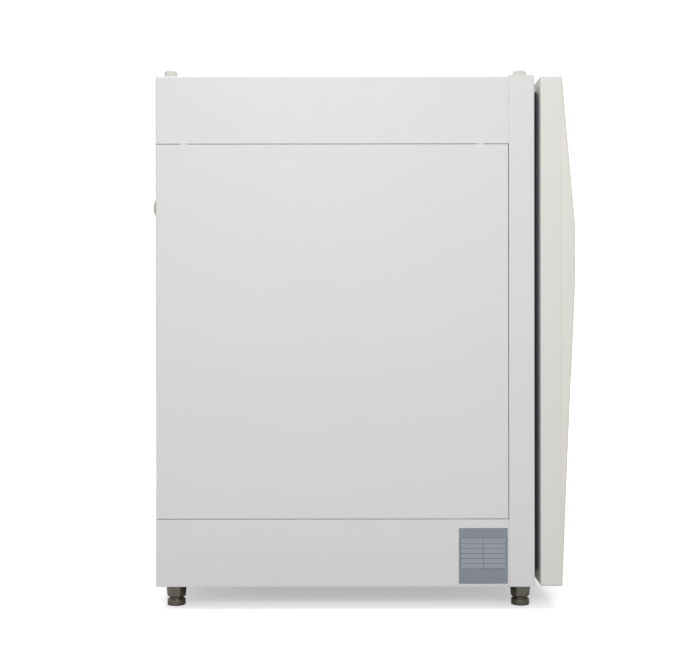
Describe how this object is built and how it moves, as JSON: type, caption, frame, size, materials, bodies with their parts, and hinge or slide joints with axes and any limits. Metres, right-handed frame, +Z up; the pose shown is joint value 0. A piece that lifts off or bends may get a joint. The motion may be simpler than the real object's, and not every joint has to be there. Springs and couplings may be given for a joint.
{
  "type": "tri-gas incubator",
  "caption": "Upright cell-culture incubator cabinet with a faceted outer door over an inner glass door, sliding shelves, a water pan, a fan duct and levelling feet",
  "frame": {"origin": "on the floor under the middle of the bounding box, feet screwed in", "axes": "+Z up, the door front faces -Y, +X to the right of someone facing the door"},
  "size_m": [0.637, 0.758, 0.931],
  "materials": {
    "painted_steel": "fine textured white powder coat",
    "stainless": "brushed stainless",
    "cast_white": "moulded white plastic",
    "foam": "rigid insulating foam",
    "heater_foil": "foil heater",
    "grey_rubber": "matt seal rubber",
    "white_rubber": "off-white rubber",
    "silicone": "translucent silicone",
    "clear_glass": "tempered glass",
    "black_glass": "dark display window",
    "grey_plastic": "grey plastic",
    "dark_plastic": "black plastic",
    "brass_fitting": "plain brass",
    "board": "green circuit board",
    "motor_metal": "cast housing",
    "bare_steel": "plated steel",
    "plate_silver": "silver film plate",
    "filter_paper": "pleated filter medium",
    "tube_plastic": "flexible gas tube"
  },
  "bodies": {
    "cabinet": {"base_pan": "painted_steel", "chamber_liner": "stainless", "chamber_sensors": "grey_plastic", "control_board": "board", "door_hinges": "stainless", "fan_motor": "motor_metal", "fan_plenum": "stainless", "foot_nuts": "bare_steel", "front_frame": "painted_steel", "gas_inlets": "brass_fitting", "gas_tubes": "tube_plastic", "gas_valves": "brass_fitting", "glass_brackets": "stainless", "heater_mats": "heater_foil", "hepa_filter": "filter_paper", "insulation": "foam", "latch_keeper": "stainless", "left_side_panel": "painted_steel", "lower_deck": "bare_steel", "mains_inlet": "dark_plastic", "mouth_gasket": "silicone", "panel_screws": "bare_steel", "port_sleeve": "silicone", "power_supply": "motor_metal", "rating_plate": "plate_silver", "rear_duct": "stainless", "rear_panel": "painted_steel", "right_side_panel": "painted_steel", "shelf_racks": "stainless", "stacking_pads": "white_rubber", "switch_bezel": "dark_plastic", "top_cover": "painted_steel", "upper_deck": "bare_steel"},
    "outer_door": {"door_pan": "painted_steel", "door_fascia": "cast_white", "door_back_panel": "stainless", "door_insulation": "foam", "door_gasket": "grey_rubber", "door_bushes": "grey_plastic", "display_window": "black_glass", "door_board": "board", "door_pull_cup": "grey_plastic"},
    "glass_door": {"glass_pane": "clear_glass", "glass_clamps": "stainless"},
    "glass_latch": {"glass_latch": "grey_plastic"},
    "water_pan": {"water_pan": "stainless"},
    "fan_wheel": {"fan_wheel": "grey_plastic"},
    "mains_switch": {"mains_switch": "dark_plastic"},
    "port_stopper": {"port_stopper": "white_rubber"},
    "shelf_1": {"shelf_1": "stainless"},
    "shelf_2": {"shelf_2": "stainless"},
    "shelf_3": {"shelf_3": "stainless"},
    "foot_front_left": {"foot_front_left": "bare_steel"},
    "foot_front_right": {"foot_front_right": "bare_steel"},
    "foot_rear_left": {"foot_rear_left": "bare_steel"},
    "foot_rear_right": {"foot_rear_right": "bare_steel"},
    "key_1": {"key_1": "grey_plastic"},
    "key_2": {"key_2": "grey_plastic"},
    "key_3": {"key_3": "grey_plastic"},
    "key_4": {"key_4": "grey_plastic"}
  },
  "joints": [
    {"name": "outer_door_hinge", "type": "hinge", "parent": "cabinet", "child": "outer_door", "pos_m": [0.3065, -0.344, 0.47845], "axis": [0, 0, 1], "range_deg": [0, 120]},
    {"name": "glass_door_hinge", "type": "hinge", "parent": "cabinet", "child": "glass_door", "pos_m": [0.268, -0.2917, 0.4745], "axis": [0, 0, 1], "range_deg": [0, 90]},
    {"name": "glass_latch_turn", "type": "hinge", "parent": "glass_door", "child": "glass_latch", "pos_m": [-0.247, -0.2808, 0.4745], "axis": [0, 1, 0], "range_deg": [0, 90]},
    {"name": "fan_spin", "type": "hinge", "parent": "cabinet", "child": "fan_wheel", "pos_m": [0, 0.0748, 0.764], "axis": [0, 0, 1], "continuous": true},
    {"name": "mains_rocker", "type": "hinge", "parent": "cabinet", "child": "mains_switch", "pos_m": [0.256, 0.3368, 0.864], "axis": [1, 0, 0], "range_deg": [0, 16]},
    {"name": "port_stopper_pull", "type": "slide", "parent": "cabinet", "child": "port_stopper", "axis": [0, 1, 0], "range_m": [0, 0.06]},
    {"name": "water_pan_slide", "type": "slide", "parent": "cabinet", "child": "water_pan", "axis": [0, -1, 0], "range_m": [0, 0.16]},
    {"name": "shelf_1_slide", "type": "slide", "parent": "cabinet", "child": "shelf_1", "axis": [0, -1, 0], "range_m": [0, 0.16]},
    {"name": "shelf_2_slide", "type": "slide", "parent": "cabinet", "child": "shelf_2", "axis": [0, -1, 0], "range_m": [0, 0.16]},
    {"name": "shelf_3_slide", "type": "slide", "parent": "cabinet", "child": "shelf_3", "axis": [0, -1, 0], "range_m": [0, 0.16]},
    {"name": "foot_front_left_screw", "type": "slide", "parent": "cabinet", "child": "foot_front_left", "axis": [0, 0, -1], "range_m": [0, 0.012]},
    {"name": "foot_front_right_screw", "type": "slide", "parent": "cabinet", "child": "foot_front_right", "axis": [0, 0, -1], "range_m": [0, 0.012]},
    {"name": "foot_rear_left_screw", "type": "slide", "parent": "cabinet", "child": "foot_rear_left", "axis": [0, 0, -1], "range_m": [0, 0.012]},
    {"name": "foot_rear_right_screw", "type": "slide", "parent": "cabinet", "child": "foot_rear_right", "axis": [0, 0, -1], "range_m": [0, 0.012]},
    {"name": "key_1_press", "type": "slide", "parent": "outer_door", "child": "key_1", "axis": [0, 0.9962, -0.0871], "range_m": [0, 0.0012], "stiffness_N_per_m": 400},
    {"name": "key_2_press", "type": "slide", "parent": "outer_door", "child": "key_2", "axis": [0, 0.9962, -0.0871], "range_m": [0, 0.0012], "stiffness_N_per_m": 400},
    {"name": "key_3_press", "type": "slide", "parent": "outer_door", "child": "key_3", "axis": [0, 0.9962, -0.0871], "range_m": [0, 0.0012], "stiffness_N_per_m": 400},
    {"name": "key_4_press", "type": "slide", "parent": "outer_door", "child": "key_4", "axis": [0, 0.9962, -0.0871], "range_m": [0, 0.0012], "stiffness_N_per_m": 400}
  ],
  "couplings": [
    {"joint": "glass_door_hinge", "follows": "outer_door_hinge", "ratio": 0.75},
    {"joint": "water_pan_slide", "follows": "outer_door_hinge", "m_per_rad": 0.0763},
    {"joint": "shelf_1_slide", "follows": "outer_door_hinge", "m_per_rad": 0.0763},
    {"joint": "shelf_2_slide", "follows": "outer_door_hinge", "m_per_rad": 0.0763},
    {"joint": "shelf_3_slide", "follows": "outer_door_hinge", "m_per_rad": 0.0763}
  ]
}
